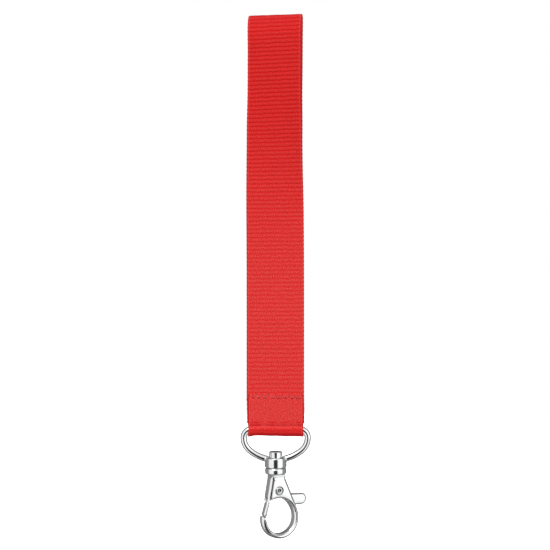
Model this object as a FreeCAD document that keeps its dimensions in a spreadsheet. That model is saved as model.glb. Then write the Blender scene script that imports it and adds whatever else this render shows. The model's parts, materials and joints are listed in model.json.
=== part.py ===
import FreeCAD, Part
import Sketcher
import math
import os

# Short webbing strap with a D-ring and a swivel lobster hook, hanging from the top of its loop.
# Frame: origin at the top of the loop, +Z up, front face towards -Y. Millimetres.
# Every "drop" is a distance below the origin.

SIZES = (
    ("strap_width", 20.2, "ribbed webbing, width"),
    ("strap_thick", 1.1, "ribbed webbing, thickness"),
    ("layer_gap", 0.3, "between the strap's two layers"),
    ("strap_end_drop", 146.0, "cut ends of the strap"),
    ("tab_width", 19.8, "smooth webbing, width"),
    ("tab_thick", 0.85, "smooth webbing, thickness"),
    ("tab_top_drop", 136.4, "cut ends of the tab"),
    ("bar_drop", 148.2, "centre of the ring's straight bar"),
    ("fold_bore", 2.5, "inside diameter of the tab's fold round the bar"),
    ("fold_mouth", 3.7, "inside diameter of that fold at the webbing's edges"),
    ("mouth_length", 1.7, "length of the widened part at each edge"),
    ("thread_size", 0.4, "sewing thread"),
    ("thread_shy", 0.02, "gap between the two threads, half of it on each side"),
    ("seam_drop", 136.45, "middle of the zigzag seam"),
    ("seam_swing", 0.4, "zigzag, half its width"),
    ("seam_pitch", 2.36, "zigzag, full period"),
    ("seam_half", 9.44, "half the length of the seam"),
    ("wire", 2.3, "D-ring wire, diameter"),
    ("ring_half", 11.45, "D-ring, middle of the wire at its widest"),
    ("corner_radius", 3.05, "D-ring, corner at each end of the bar"),
    ("side_radius", 6.0, "D-ring, curve below its widest point"),
    ("bow_drop", 159.2, "D-ring, lowest point of the wire's middle line"),
    ("boss_width", 7.75, "swivel boss, diameter"),
    ("boss_top_drop", 158.4, "swivel boss, upper face"),
    ("boss_height", 3.45, "swivel boss, height"),
    ("boss_bore", 3.22, "hole through the boss"),
    ("boss_round", 0.35, "rounded rims of the boss"),
    ("post_width", 3.1, "swivel post, shank diameter"),
    ("cap_seat", 5.2, "flat seat cut for the post's head above the boss, diameter"),
    ("cap_width", 4.7, "swivel post, head diameter"),
    ("cap_height", 2.1, "swivel post, head height"),
    ("cap_chamfer", 0.25, "swivel post, bevel round the head"),
    ("swivel_play", 0.1, "end play of the swivel at each face"),
    ("post_end_drop", 165.1, "lower end of the shank"),
    ("hook_turn", 28.0, "turn of the hook about the swivel at rest, degrees"),
    ("collar_width", 7.6, "hook collar, diameter"),
    ("collar_height", 2.3, "hook collar, height"),
    ("collar_round", 0.7, "hook collar, rounded rims"),
    ("cheek_thick", 4.8, "hook body, over both cheeks"),
    ("claw_thick", 3.8, "hook body, claw"),
    ("neck_left", 1.97, "hook neck, left of the swivel axis"),
    ("neck_right", 2.25, "hook neck, right of the swivel axis"),
    ("neck_drop", 163.9, "top of the neck, inside the collar"),
    ("left_foot", 3.75, "cheeks, lower left corner, left of the axis"),
    ("left_foot_drop", 173.8, "cheeks, lower left corner"),
    ("claw_side", 1.6, "claw, centre of the outside round, right of the axis"),
    ("claw_drop", 180.2, "claw, centre of the outside round"),
    ("claw_radius", 7.15, "claw, outside round"),
    ("eye_side", 1.4, "eye, centre of the lower round"),
    ("eye_drop", 180.1, "eye, centre of the lower round"),
    ("eye_radius", 5.5, "eye, lower round"),
    ("eye_top_side", 0.6, "eye, highest point"),
    ("eye_top_drop", 172.8, "eye, highest point"),
    ("eye_top_radius", 5.2, "eye, upper right round"),
    ("brow_radius", 9.75, "eye, shallow round above the gate"),
    ("tip_drop", 178.75, "claw tip, outer corner"),
    ("inner_tip_drop", 180.75, "claw tip, corner at the eye"),
    ("taper_drop", 174.5, "where the body starts to thin towards the claw"),
    ("taper_end_drop", 178.1, "where it has thinned to the claw"),
    ("rim_round", 0.32, "hook body, rounded rims"),
    ("slot_width", 2.3, "trigger slot between the cheeks"),
    ("slot_roof_drop", 165.9, "roof of the trigger slot"),
    ("slot_floor_drop", 176.25, "floor of the slot under the lever"),
    ("slot_left", 2.2, "left wall of the slot beside the hub, left of the axis"),
    ("slot_lean", 1.3, "how far the slot narrows from the hub up to its roof"),
    ("slot_notch", 0.3, "slot, offset of its lower left corner"),
    ("slot_side_drop", 172.5, "top of the slot's low opening on the left"),
    ("pin_side", 0.2, "trigger pin, right of the axis"),
    ("pin_drop", 169.95, "trigger pin"),
    ("pin_width", 2.0, "trigger pin, diameter"),
    ("pin_head", 3.0, "trigger pin, head diameter"),
    ("pin_proud", 0.3, "trigger pin, head height"),
    ("pin_dish", 1.8, "trigger pin, dished middle of the head"),
    ("pin_dish_deep", 0.2, "trigger pin, depth of the dish"),
    ("pin_bore", 2.12, "hole in the trigger"),
    ("plate_thick", 2.0, "trigger, hub and lever"),
    ("gate_thick", 3.0, "trigger, gate"),
    ("hub_radius", 2.1, "trigger, hub"),
    ("shoulder_drop", 168.95, "trigger, seat of the spring"),
    ("lever_top_side", 4.5, "lever, start of its upper edge, right of the axis"),
    ("lever_soft_side", 5.4, "lever, its rims are rounded from here to the right"),
    ("lever_top_drop", 171.5, "thumb lever, upper edge at the body"),
    ("lever_fall", 0.3, "thumb lever, how far its upper edge falls to the end"),
    ("lever_foot_drop", 175.8, "thumb lever, lower edge"),
    ("lever_end", 12.2, "thumb lever, end, right of the axis"),
    ("lever_round", 1.7, "thumb lever, rounded end"),
    ("lever_soft", 0.35, "thumb lever, rounded rims"),
    ("plate_shy", 0.12, "how far the plate stays behind the eye's edge"),
    ("brow_overrun", 0.4, "how far the eye is cut past the cheeks' corner"),
    ("tail_reach", 0.2, "trigger plate, left end beyond the left foot"),
    ("tail_side", 0.4, "trigger plate, upper left corner, right of the left foot"),
    ("tail_rise", 1.0, "trigger plate, upper left corner above the left foot"),
    ("back_side", 0.35, "trigger plate, left of the hub"),
    ("back_rise", 1.6, "trigger plate, left of the hub, above the left foot"),
    ("root_side", 0.05, "gate root, outer edge, right of the gate's corner"),
    ("root_rise", 0.5, "gate root, outer edge, above the gate's top"),
    ("root_lap", 0.4, "gate root, below the gate's top"),
    ("root_back_rise", 0.95, "gate root, inner edge, above the left foot"),
    ("gate_top_drop", 174.1, "gate, upper end"),
    ("gate_top_left", 4.0, "gate, upper outer corner, left of the axis"),
    ("gate_end_drop", 178.4, "gate, lower outer corner"),
    ("gate_end_left", 5.3, "gate, lower outer corner, left of the axis"),
    ("gate_width", 1.18, "gate, width in the hook's plane"),
    ("gate_soft", 0.3, "gate, rounded rims"),
    ("spring_side", 2.2, "spring axis, right of the swivel axis"),
    ("spring_width", 1.7, "spring, outside diameter"),
    ("spring_wire", 0.3, "spring, wire diameter"),
    ("spring_turns", 5.0, "spring, number of turns"),
    ("spring_play", 0.06, "spring, gap at each seat"),
)

NEAR = 0.01  # lengths under this count as none when edges are picked
SAME = 1e-6  # two numbers closer than this are equal

doc = FreeCAD.newDocument("lanyard")
sheet = doc.addObject("Spreadsheet::Sheet", "Sizes")
for row, (alias, number, note) in enumerate(SIZES, start=1):
    sheet.set("A%d" % row, alias)
    sheet.set("B%d" % row, str(number))
    sheet.set("C%d" % row, note)
    sheet.setAlias("B%d" % row, alias)
doc.recompute()


def cell(alias):
    """The number in the cell with this alias."""
    return float(sheet.get(alias))


def size(**terms):
    """A sum of sheet sizes, each times its factor. The term mm is a plain number of millimetres."""
    return terms


def value(term):
    """A size or a plain number, as a number."""
    if isinstance(term, dict):
        return sum(f if a == "mm" else f * cell(a) for a, f in term.items())
    return float(term)


def formula(term):
    """A size as an expression that reads the sheet."""
    parts = []
    for alias, factor in term.items():
        parts.append("%.6f" % factor if alias == "mm" else "%.6f * Sizes.%s" % (factor, alias))
    return " + ".join(parts)


def bind(item, name, term):
    """Gives a property of item a size from the sheet."""
    item.setExpression(name, formula(term))


def new_body(label):
    body = doc.addObject("PartDesign::Body", label)
    body.Label = label
    return body


def sketch_on(body, role, name, lift=0.0):
    """An empty sketch on one of the body's own origin planes, lifted along the plane's normal."""
    sketch = body.newObject("Sketcher::SketchObject", name)
    plane = next(p for p in body.Origin.OriginFeatures if p.Role == role)
    sketch.AttachmentSupport = [(plane, "")]
    sketch.MapMode = "FlatFace"
    sketch.AttachmentOffset = FreeCAD.Placement(FreeCAD.Vector(0, 0, lift), FreeCAD.Rotation())
    return sketch


def arc_edge(start, end, radius, turn, large):
    """The arc from start to end. turn is 1 for anticlockwise and -1 for clockwise."""
    dx = end[0] - start[0]
    dy = end[1] - start[1]
    chord = math.hypot(dx, dy)
    rise = math.sqrt(max(radius * radius - chord * chord / 4, 0.0))
    side = turn * (-1 if large else 1)
    centre_x = (start[0] + end[0]) / 2 - side * rise * dy / chord
    centre_y = (start[1] + end[1]) / 2 + side * rise * dx / chord
    first, last = (start, end) if turn > 0 else (end, start)
    angle_a = math.atan2(first[1] - centre_y, first[0] - centre_x)
    angle_b = math.atan2(last[1] - centre_y, last[0] - centre_x)
    if angle_b <= angle_a:
        angle_b += 2 * math.pi
    circle = Part.Circle(FreeCAD.Vector(centre_x, centre_y, 0), FreeCAD.Vector(0, 0, 1), radius)
    return Part.ArcOfCircle(circle, angle_a, angle_b)


def fix(sketch, term, *constraint):
    """Adds a constraint with this value, from the sheet where it is a size."""
    fixed = sketch.addConstraint(Sketcher.Constraint(*constraint, value(term)))
    if isinstance(term, dict):
        sketch.setExpression("Constraints[%d]" % fixed, formula(term))


def pin_point(sketch, index, place, corner):
    """Fixes one point of an edge at its corner."""
    fix(sketch, corner[0], "DistanceX", -1, 1, index, place)
    fix(sketch, corner[1], "DistanceY", -1, 1, index, place)


def outline(body, role, name, corners, lift=0.0, closed=True):
    """A sketch through corners (x, y), or (x, y, radius, turn, large) where an arc leaves it."""
    sketch = sketch_on(body, role, name, lift)
    points = [(value(c[0]), value(c[1])) for c in corners]
    count = len(corners) if closed else len(corners) - 1
    ends = []
    for i in range(count):
        start = points[i]
        end = points[(i + 1) % len(points)]
        if len(corners[i]) == 2:
            edge = Part.LineSegment(FreeCAD.Vector(*start, 0), FreeCAD.Vector(*end, 0))
            places = (1, 2)
        else:
            radius, turn, large = corners[i][2:]
            edge = arc_edge(start, end, value(radius), turn, large)
            places = (1, 2) if turn > 0 else (2, 1)
        ends.append((sketch.addGeometry(edge, False), places))
    for i in range(count):
        index, places = ends[i]
        pin_point(sketch, index, places[0], corners[i])
        if closed or i < count - 1:
            follower, follower_places = ends[(i + 1) % count]
            sketch.addConstraint(
                Sketcher.Constraint("Coincident", index, places[1], follower, follower_places[0])
            )
        else:
            pin_point(sketch, index, places[1], corners[i + 1])
        if len(corners[i]) > 2:
            chord = math.dist(points[i], points[(i + 1) % len(points)])
            if abs(value(corners[i][2]) - chord / 2) < SAME:
                # A half circle: its ends already give the radius, so its centre is set level with them.
                fix(sketch, corners[i][1], "DistanceY", -1, 1, index, 3)
            else:
                fix(sketch, corners[i][2], "Radius", index)
    return sketch


def discs(body, role, name, centres, width, lift=0.0):
    """A sketch of equal circles of the given diameter."""
    sketch = sketch_on(body, role, name, lift)
    for x, y in centres:
        spot = FreeCAD.Vector(value(x), value(y), 0)
        circle = Part.Circle(spot, FreeCAD.Vector(0, 0, 1), value(width) / 2)
        index = sketch.addGeometry(circle, False)
        pin_point(sketch, index, 3, (x, y))
        fix(sketch, width, "Diameter", index)
    return sketch


def extrude(body, kind, name, sketch, length, symmetric=True, reverse=False):
    """A Pad or Pocket of the sketch."""
    feature = body.newObject("PartDesign::" + kind, name)
    feature.Profile = sketch
    feature.SideType = "Symmetric" if symmetric else "One side"
    feature.Reversed = reverse
    bind(feature, "Length", length)
    sketch.Visibility = False
    doc.recompute()
    return feature


def turned(body, kind, name, sketch, axis="V_Axis"):
    """A full Revolution or Groove of the sketch about one of its own axes."""
    feature = body.newObject("PartDesign::" + kind, name)
    feature.Profile = sketch
    feature.ReferenceAxis = (sketch, [axis])
    feature.Angle = 360
    sketch.Visibility = False
    doc.recompute()
    return feature


def edges_where(feature, test):
    """Names of the edges of a feature whose middle point and edge pass the test."""
    names = []
    for number, edge in enumerate(feature.Shape.Edges, start=1):
        middle = edge.valueAt((edge.FirstParameter + edge.LastParameter) / 2)
        if test(middle, edge):
            names.append("Edge%d" % number)
    return names


def soften(body, kind, name, base, names, amount):
    """A Fillet or Chamfer of the named edges."""
    feature = body.newObject("PartDesign::" + kind, name)
    feature.Base = (base, names)
    bind(feature, "Radius" if kind == "Fillet" else "Size", amount)
    doc.recompute()
    return feature


# ---------------------------------------------------------------- webbing


def strap_loop():
    """The ribbed webbing: front layer, fold over the top, back layer."""
    body = new_body("strap_loop")
    inner = size(layer_gap=0.5)
    outer = size(layer_gap=0.5, strap_thick=1)
    inner_left = size(layer_gap=-0.5)
    outer_left = size(layer_gap=-0.5, strap_thick=-1)
    spring_line = size(layer_gap=-0.5, strap_thick=-1)
    foot = size(strap_end_drop=-1)
    corners = [
        (outer_left, foot),
        (inner_left, foot),
        (inner_left, spring_line, inner, -1, False),
        (inner, spring_line),
        (inner, foot),
        (outer, foot),
        (outer, spring_line, outer, 1, False),
        (outer_left, spring_line),
    ]
    profile = outline(body, "YZ_Plane", "strap_profile", corners)
    extrude(body, "Pad", "strap_width_pad", profile, size(strap_width=1))
    return body


def ring_tab():
    """The smooth webbing: over the strap's ends and round the ring's bar."""
    body = new_body("ring_tab")
    bore = size(fold_bore=0.5)
    skin = size(fold_bore=0.5, tab_thick=1)
    bore_left = size(fold_bore=-0.5)
    skin_left = size(fold_bore=-0.5, tab_thick=-1)
    top = size(tab_top_drop=-1)
    bar = size(bar_drop=-1)
    corners = [
        (skin_left, top),
        (skin_left, bar, skin, 1, False),
        (skin, bar),
        (skin, top),
        (bore, top),
        (bore, bar, bore, -1, False),
        (bore_left, bar),
        (bore_left, top),
    ]
    profile = outline(body, "YZ_Plane", "tab_profile", corners)
    extrude(body, "Pad", "tab_width_pad", profile, size(tab_width=1))
    # The webbing gives way round the ring's corners, so its fold widens towards both edges.
    for side, name in ((1, "right"), (-1, "left")):
        edge = size(tab_width=0.5 * side)
        start = size(tab_width=0.5 * side, mouth_length=-side)
        mouth = [
            (start, bar),
            (edge, bar),
            (edge, size(bar_drop=-1, fold_mouth=0.5)),
            (start, size(bar_drop=-1, fold_bore=0.5)),
        ]
        cone = outline(body, "XZ_Plane", "mouth_profile_" + name, mouth)
        groove = body.newObject("PartDesign::Groove", "mouth_" + name)
        groove.Profile = cone
        groove.ReferenceAxis = (cone, ["Edge1"])
        groove.Angle = 360
        doc.recompute()
    return body


def thread(label, side):
    """One thread of the zigzag seam: side is -1 for the front and 1 for the back."""
    body = new_body(label)
    half = cell("seam_half")
    step = cell("seam_pitch") / 2
    width = cell("thread_size")
    count = round(2 * half / step)
    face = cell("fold_bore") / 2 + cell("tab_thick")
    swing = cell("seam_swing")
    middle = -cell("seam_drop")
    holes = []
    for i in range(count + 1):
        holes.append((-half + i * step, middle + (swing if i % 2 == 0 else -swing)))
    upper = [(x, y + width / 2) for x, y in holes]
    lower = [(x, y - width / 2) for x, y in holes]
    # The plane's normal is -Y, so the lift is positive on the front.
    lift = face if side < 0 else -face
    band = outline(body, "XZ_Plane", label + "_band", lower + upper[::-1], lift)
    extrude(body, "Pad", label + "_surface", band, size(thread_size=1), False, side > 0)
    legs = discs(body, "XZ_Plane", label + "_holes", holes, size(thread_size=0.9), lift)
    depth = size(fold_bore=0.5, tab_thick=1, thread_shy=-1)
    extrude(body, "Pad", label + "_legs", legs, depth, False, side < 0)
    return body


# ---------------------------------------------------------------- ring and swivel


def d_ring():
    """The cast ring: bar, bow and swivel boss with its through hole."""
    body = new_body("d_ring")
    bar = size(bar_drop=-1)
    waist = size(bar_drop=-1, corner_radius=-1)
    half = cell("ring_half")
    side_radius = cell("side_radius")
    bow_depth = cell("bow_drop") - cell("bar_drop") - cell("corner_radius")
    reach = half - side_radius
    # The bottom arc is tangent to both side arcs and touches bow_drop.
    bow_radius = (reach**2 + bow_depth**2 - side_radius**2) / (2 * (bow_depth - side_radius))
    bow_centre = -cell("bow_drop") + bow_radius
    waist_z = value(waist)
    gap = bow_radius - side_radius
    join_x = reach * bow_radius / gap
    join_z = bow_centre + (waist_z - bow_centre) * bow_radius / gap
    corner = size(corner_radius=1)
    shoulder = size(ring_half=1, corner_radius=-1)
    shoulder_left = size(ring_half=-1, corner_radius=1)
    path = [
        (shoulder_left, bar),
        (shoulder, bar, corner, -1, False),
        (size(ring_half=1), waist, size(side_radius=1), -1, False),
        (join_x, join_z, bow_radius, -1, False),
        (-join_x, join_z, size(side_radius=1), -1, False),
        (size(ring_half=-1), waist, corner, -1, False),
    ]
    spine = outline(body, "XZ_Plane", "ring_path", path)
    section = discs(body, "YZ_Plane", "ring_section", [(0.0, bar)], size(wire=1))
    pipe = body.newObject("PartDesign::AdditivePipe", "ring_wire")
    pipe.Profile = section
    pipe.Spine = spine
    doc.recompute()
    radius = size(boss_width=0.5)
    top = size(boss_top_drop=-1)
    foot = size(boss_top_drop=-1, boss_height=-1)
    rim = size(boss_width=0.5, boss_round=-1)
    low_rim = size(boss_top_drop=-1, boss_height=-1, boss_round=1)
    high_rim = size(boss_top_drop=-1, boss_round=-1)
    rounding = size(boss_round=1)
    boss = [
        (0.0, foot),
        (rim, foot, rounding, 1, False),
        (radius, low_rim),
        (radius, high_rim, rounding, 1, False),
        (rim, top),
        (0.0, top),
    ]
    turned(body, "Revolution", "boss", outline(body, "XZ_Plane", "boss_profile", boss))
    # The hole, and above the boss a wider cut that leaves the post's head room to turn in the wire.
    below = size(boss_top_drop=-1, boss_height=-2)
    above = size(boss_top_drop=-1, boss_height=1)
    bore = [
        (0.0, below),
        (size(boss_bore=0.5), below),
        (size(boss_bore=0.5), top),
        (size(cap_seat=0.5), top),
        (size(cap_seat=0.5), above),
        (0.0, above),
    ]
    turned(body, "Groove", "boss_hole", outline(body, "XZ_Plane", "hole_profile", bore))
    return body


def swivel_post():
    """The headed post: its head turns on the boss, its shank is pressed into the hook."""
    body = new_body("swivel_post")
    head = size(cap_width=0.5)
    bevel = size(cap_width=0.5, cap_chamfer=-1)
    shank = size(post_width=0.5)
    seat = size(boss_top_drop=-1, swivel_play=1)
    top = size(boss_top_drop=-1, swivel_play=1, cap_height=1)
    edge = size(boss_top_drop=-1, swivel_play=1, cap_height=1, cap_chamfer=-1)
    profile = [
        (0.0, size(post_end_drop=-1)),
        (shank, size(post_end_drop=-1)),
        (shank, seat),
        (head, seat),
        (head, edge),
        (bevel, top),
        (0.0, top),
    ]
    turned(body, "Revolution", "post", outline(body, "XZ_Plane", "post_profile", profile))
    return body


# ---------------------------------------------------------------- hook, in its own plane
# The hook's pieces are drawn facing -Y and then turned about the swivel axis by hook_turn.


def tangent_point(centre, radius, outside):
    """Where the line from an outside point touches a circle, on the circle's right side."""
    dx = outside[0] - centre[0]
    dy = outside[1] - centre[1]
    angle = math.atan2(dy, dx) - math.acos(radius / math.hypot(dx, dy))
    return centre[0] + radius * math.cos(angle), centre[1] + radius * math.sin(angle)


def eye_joins():
    """Radius of the eye's right side and where it meets the upper right round."""
    right = cell("eye_side") + cell("eye_radius")
    floor = -cell("eye_drop")
    top_radius = cell("eye_top_radius")
    top_x = cell("eye_top_side")
    top_y = -cell("eye_top_drop") - top_radius
    reach = right - top_x
    climb = top_y - floor
    side_radius = (reach**2 + climb**2 - top_radius**2) / (2 * (reach - top_radius))
    side_x = right - side_radius
    span = math.hypot(top_x - side_x, climb)
    join_x = top_x + (top_x - side_x) * top_radius / span
    join_y = top_y + climb * top_radius / span
    return side_radius, (join_x, join_y)


def on_circle(centre_x, centre_y, radius, x_side, height):
    """The point of a circle at a height, on the side given by the sign of x_side."""
    reach = math.sqrt(radius**2 - (height - centre_y) ** 2)
    return centre_x + math.copysign(reach, x_side), height


def hook_outline(body):
    """Neck, right side, claw, eye and the lower edge of the cheeks, as one closed outline."""
    claw = (cell("claw_side"), -cell("claw_drop"))
    neck = (cell("neck_right"), -cell("neck_drop"))
    touch = tangent_point(claw, cell("claw_radius"), neck)
    tip = on_circle(*claw, cell("claw_radius"), -1, -cell("tip_drop"))
    inner_tip = on_circle(
        cell("eye_side"), -cell("eye_drop"), cell("eye_radius"), -1, -cell("inner_tip_drop")
    )
    side_radius, join = eye_joins()
    corners = [
        (size(neck_left=-1), size(neck_drop=-1)),
        (size(neck_right=1), size(neck_drop=-1)),
        (*touch, size(claw_radius=1), -1, True),
        tip,
        (*inner_tip, size(eye_radius=1), 1, False),
        (size(eye_side=1, eye_radius=1), size(eye_drop=-1), side_radius, 1, False),
        (*join, size(eye_top_radius=1), 1, False),
        (size(eye_top_side=1), size(eye_top_drop=-1), size(brow_radius=1), 1, False),
        (size(left_foot=-1), size(left_foot_drop=-1)),
    ]
    return outline(body, "XZ_Plane", "hook_outline", corners)


def eye_outline(body, name, grow):
    """The eye, larger all round by grow, for cutting the trigger's plate back behind its edge."""
    side_radius, join = eye_joins()
    margin = cell(grow)
    side_x = cell("eye_side") + cell("eye_radius") - side_radius
    floor = -cell("eye_drop")
    reach = math.dist(join, (side_x, floor))
    far_join = (
        side_x + (join[0] - side_x) * (reach + margin) / reach,
        floor + (join[1] - floor) * (reach + margin) / reach,
    )
    brow = cell("brow_radius")
    brow_y = -cell("eye_top_drop") - brow
    foot_x = -cell("left_foot") - cell("brow_overrun")
    span = foot_x - cell("eye_top_side")
    foot_y = brow_y + math.sqrt((brow + margin) ** 2 - span**2)
    lower = size(eye_radius=1, **{grow: 1})
    right = size(eye_side=1, eye_radius=1, **{grow: 1})
    corners = [
        (size(eye_side=1, eye_radius=-1, **{grow: -1}), size(eye_drop=-1), lower, 1, False),
        (right, size(eye_drop=-1), side_radius + margin, 1, False),
        (*far_join, size(eye_top_radius=1, **{grow: 1}), 1, False),
        (size(eye_top_side=1), size(eye_top_drop=-1, **{grow: 1}), brow + margin, 1, False),
        (foot_x, foot_y),
    ]
    return outline(body, "XZ_Plane", name, corners)


def hook_body():
    """Collar, two cheeks with the trigger slot between them, and the claw."""
    body = new_body("hook_body")
    slab = extrude(body, "Pad", "slab", hook_outline(body), size(cheek_thick=1))
    # Both faces step in below the cheeks, so that the claw is thinner than the body.
    below = size(claw_drop=-1, claw_radius=-2)
    for side, name in ((-1, "front"), (1, "back")):
        taper = [
            (size(cheek_thick=0.5 * side), size(taper_drop=-1)),
            (size(cheek_thick=side), size(taper_drop=-1)),
            (size(cheek_thick=side), below),
            (size(claw_thick=0.5 * side), below),
            (size(claw_thick=0.5 * side), size(taper_end_drop=-1)),
        ]
        profile = outline(body, "YZ_Plane", "taper_profile_" + name, taper)
        slab = extrude(body, "Pocket", "taper_" + name, profile, size(claw_radius=6))

    def rim(middle, edge):
        crease = edge.BoundBox.ZLength < NEAR and edge.BoundBox.YLength < NEAR
        across = edge.BoundBox.XLength + edge.BoundBox.ZLength < NEAR
        return middle.z < -cell("neck_drop") - NEAR and not crease and not across

    slab = soften(body, "Fillet", "rounded_rims", slab, edges_where(slab, rim), size(rim_round=1))
    radius = size(collar_width=0.5)
    inset = size(collar_width=0.5, collar_round=-1)
    top = size(boss_top_drop=-1, boss_height=-1, swivel_play=-1)
    foot = size(boss_top_drop=-1, boss_height=-1, swivel_play=-1, collar_height=-1)
    round_top = size(boss_top_drop=-1, boss_height=-1, swivel_play=-1, collar_round=-1)
    round_foot = size(
        boss_top_drop=-1, boss_height=-1, swivel_play=-1, collar_height=-1, collar_round=1
    )
    rounding = size(collar_round=1)
    collar = [
        (0.0, foot),
        (inset, foot, rounding, 1, False),
        (radius, round_foot),
        (radius, round_top, rounding, 1, False),
        (inset, top),
        (0.0, top),
    ]
    turned(body, "Revolution", "collar", outline(body, "XZ_Plane", "collar_profile", collar))
    socket = [
        (0.0, size(post_end_drop=-1)),
        (size(post_width=0.5), size(post_end_drop=-1)),
        (size(post_width=0.5), size(post_end_drop=-1, cheek_thick=1)),
        (0.0, size(post_end_drop=-1, cheek_thick=1)),
    ]
    turned(body, "Groove", "post_socket", outline(body, "XZ_Plane", "socket_profile", socket))
    extrude(body, "Pocket", "trigger_slot", slot_outline(body), size(slot_width=1))
    pin = (size(pin_side=1), size(pin_drop=-1))
    holes = discs(body, "XZ_Plane", "pin_circle", [pin], size(pin_width=1))
    extrude(body, "Pocket", "pin_hole", holes, size(cheek_thick=2))
    return body


def slot_outline(body):
    """The space between the cheeks: open to the right, to the eye and, low down, to the left."""
    beyond = size(claw_side=1, claw_radius=2)
    beyond_left = size(claw_side=1, claw_radius=-1)
    corners = [
        (size(slot_left=-1, slot_lean=1), size(slot_roof_drop=-1)),
        (beyond, size(slot_roof_drop=-1)),
        (beyond, size(slot_floor_drop=-1)),
        (beyond_left, size(slot_floor_drop=-1)),
        (beyond_left, size(slot_side_drop=-1)),
        (size(slot_left=-1, slot_notch=-1), size(slot_side_drop=-1, slot_notch=1)),
        (size(slot_left=-1), size(pin_drop=-1)),
    ]
    return outline(body, "XZ_Plane", "slot_outline", corners)


def trigger():
    """Thumb lever, hub and gate in one piece."""
    body = new_body("trigger")
    foot = size(lever_foot_drop=-1)
    end = size(lever_end=1)
    seat = size(shoulder_drop=-1)
    seat_left = size(spring_side=1, spring_width=-0.6)
    hub_climb = math.sqrt(cell("hub_radius") ** 2 - (value(seat_left) - cell("pin_side")) ** 2)
    round_end = size(lever_round=1)
    before_end = size(lever_end=1, lever_round=-1)
    tail = (size(left_foot=-1, tail_side=1), size(left_foot_drop=-1, tail_rise=1))
    plate_corners = [
        (size(pin_side=1, hub_radius=-1), size(pin_drop=-1), size(hub_radius=1), -1, False),
        (seat_left, size(pin_drop=-1, mm=hub_climb)),
        (seat_left, seat),
        (size(spring_side=1, spring_width=0.6), seat),
        (size(lever_top_side=1), size(lever_top_drop=-1)),
        (before_end, size(lever_top_drop=-1, lever_fall=-1), round_end, -1, False),
        (end, size(lever_top_drop=-1, lever_fall=-1, lever_round=-1)),
        (end, size(lever_foot_drop=-1, lever_round=1), round_end, -1, False),
        (before_end, foot),
        (size(pin_side=1), foot),
        (size(left_foot=-1, tail_reach=-1), size(left_foot_drop=-1)),
        tail,
        (size(pin_side=1, hub_radius=-1, back_side=-1), size(left_foot_drop=-1, back_rise=1)),
    ]
    plate = outline(body, "XZ_Plane", "plate_outline", plate_corners)
    extrude(body, "Pad", "plate", plate, size(plate_thick=1))
    clear = eye_outline(body, "eye_clear", "plate_shy")
    extrude(body, "Pocket", "plate_behind_rim", clear, size(plate_thick=2))
    gate_top = size(gate_top_drop=-1)
    root_foot = size(gate_top_drop=-1, root_lap=-1)
    root = [
        tail,
        (size(gate_top_left=-1, root_side=1), size(gate_top_drop=-1, root_rise=1)),
        (size(gate_top_left=-1), root_foot),
        (size(gate_top_left=-1, gate_width=1), root_foot),
        (size(gate_top_left=-1, gate_width=1.25), size(left_foot_drop=-1, root_back_rise=1)),
    ]
    extrude(body, "Pad", "gate_root", outline(body, "XZ_Plane", "root", root), size(plate_thick=1))
    gate = [
        (size(gate_top_left=-1), gate_top),
        (size(gate_end_left=-1), size(gate_end_drop=-1)),
        (size(gate_end_left=-1, gate_width=0.85), size(gate_end_drop=-1, gate_width=-1.1)),
        (size(gate_top_left=-1, gate_width=1), gate_top),
    ]
    pad = extrude(body, "Pad", "gate", outline(body, "XZ_Plane", "gate", gate), size(gate_thick=1))
    pin = (size(pin_side=1), size(pin_drop=-1))
    hole = discs(body, "XZ_Plane", "pin_circle", [pin], size(pin_bore=1))
    pad = extrude(body, "Pocket", "pin_hole", hole, size(plate_thick=2))

    def on_lever(middle, edge):
        return middle.x > cell("lever_soft_side") and edge.BoundBox.YLength < NEAR

    pad = soften(body, "Fillet", "lever_rims", pad, edges_where(pad, on_lever), size(lever_soft=1))

    def on_gate(middle, edge):
        top = -cell("gate_top_drop")
        low = edge.BoundBox.ZMax < top + NEAR
        flat_top = edge.BoundBox.ZLength < NEAR and middle.z > top - NEAR
        return low and not flat_top and abs(middle.y) > cell("plate_thick") / 2 + NEAR

    soften(body, "Fillet", "gate_rims", pad, edges_where(pad, on_gate), size(gate_soft=1))
    return body


def trigger_pin():
    """Rivet with a dished head at each end, drawn about its own axis."""
    body = new_body("trigger_pin")
    half = size(pin_width=0.5)
    head = size(pin_head=0.5)
    dish = size(pin_dish=0.5)
    ends = []
    for side in (1, -1):
        seat = size(cheek_thick=0.5 * side)
        crown = size(cheek_thick=0.5 * side, pin_proud=side)
        hollow = size(cheek_thick=0.5 * side, pin_proud=side, pin_dish_deep=-side)
        outer = [(half, seat), (head, seat), (head, crown)]
        ends.append(outer + [(dish, crown), (dish, hollow), (0.0, hollow)])
    corners = ends[0] + ends[1][::-1]
    turned(body, "Revolution", "rivet", outline(body, "XY_Plane", "rivet_profile", corners))
    return body


def trigger_spring():
    """Compression coil between the slot's roof and the trigger's seat, drawn about its own axis."""
    body = new_body("trigger_spring")
    spot = (size(spring_width=0.5, spring_wire=-0.5), 0.0)
    section = discs(body, "XZ_Plane", "spring_section", [spot], size(spring_wire=1))
    coil = body.newObject("PartDesign::AdditiveHelix", "coil")
    coil.Profile = section
    coil.ReferenceAxis = (section, ["V_Axis"])
    coil.Mode = "height-turns-angle"
    height = size(shoulder_drop=1, slot_roof_drop=-1, spring_play=-2, spring_wire=-1)
    bind(coil, "Height", height)
    bind(coil, "Turns", size(spring_turns=1))
    section.Visibility = False
    doc.recompute()
    return body


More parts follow.
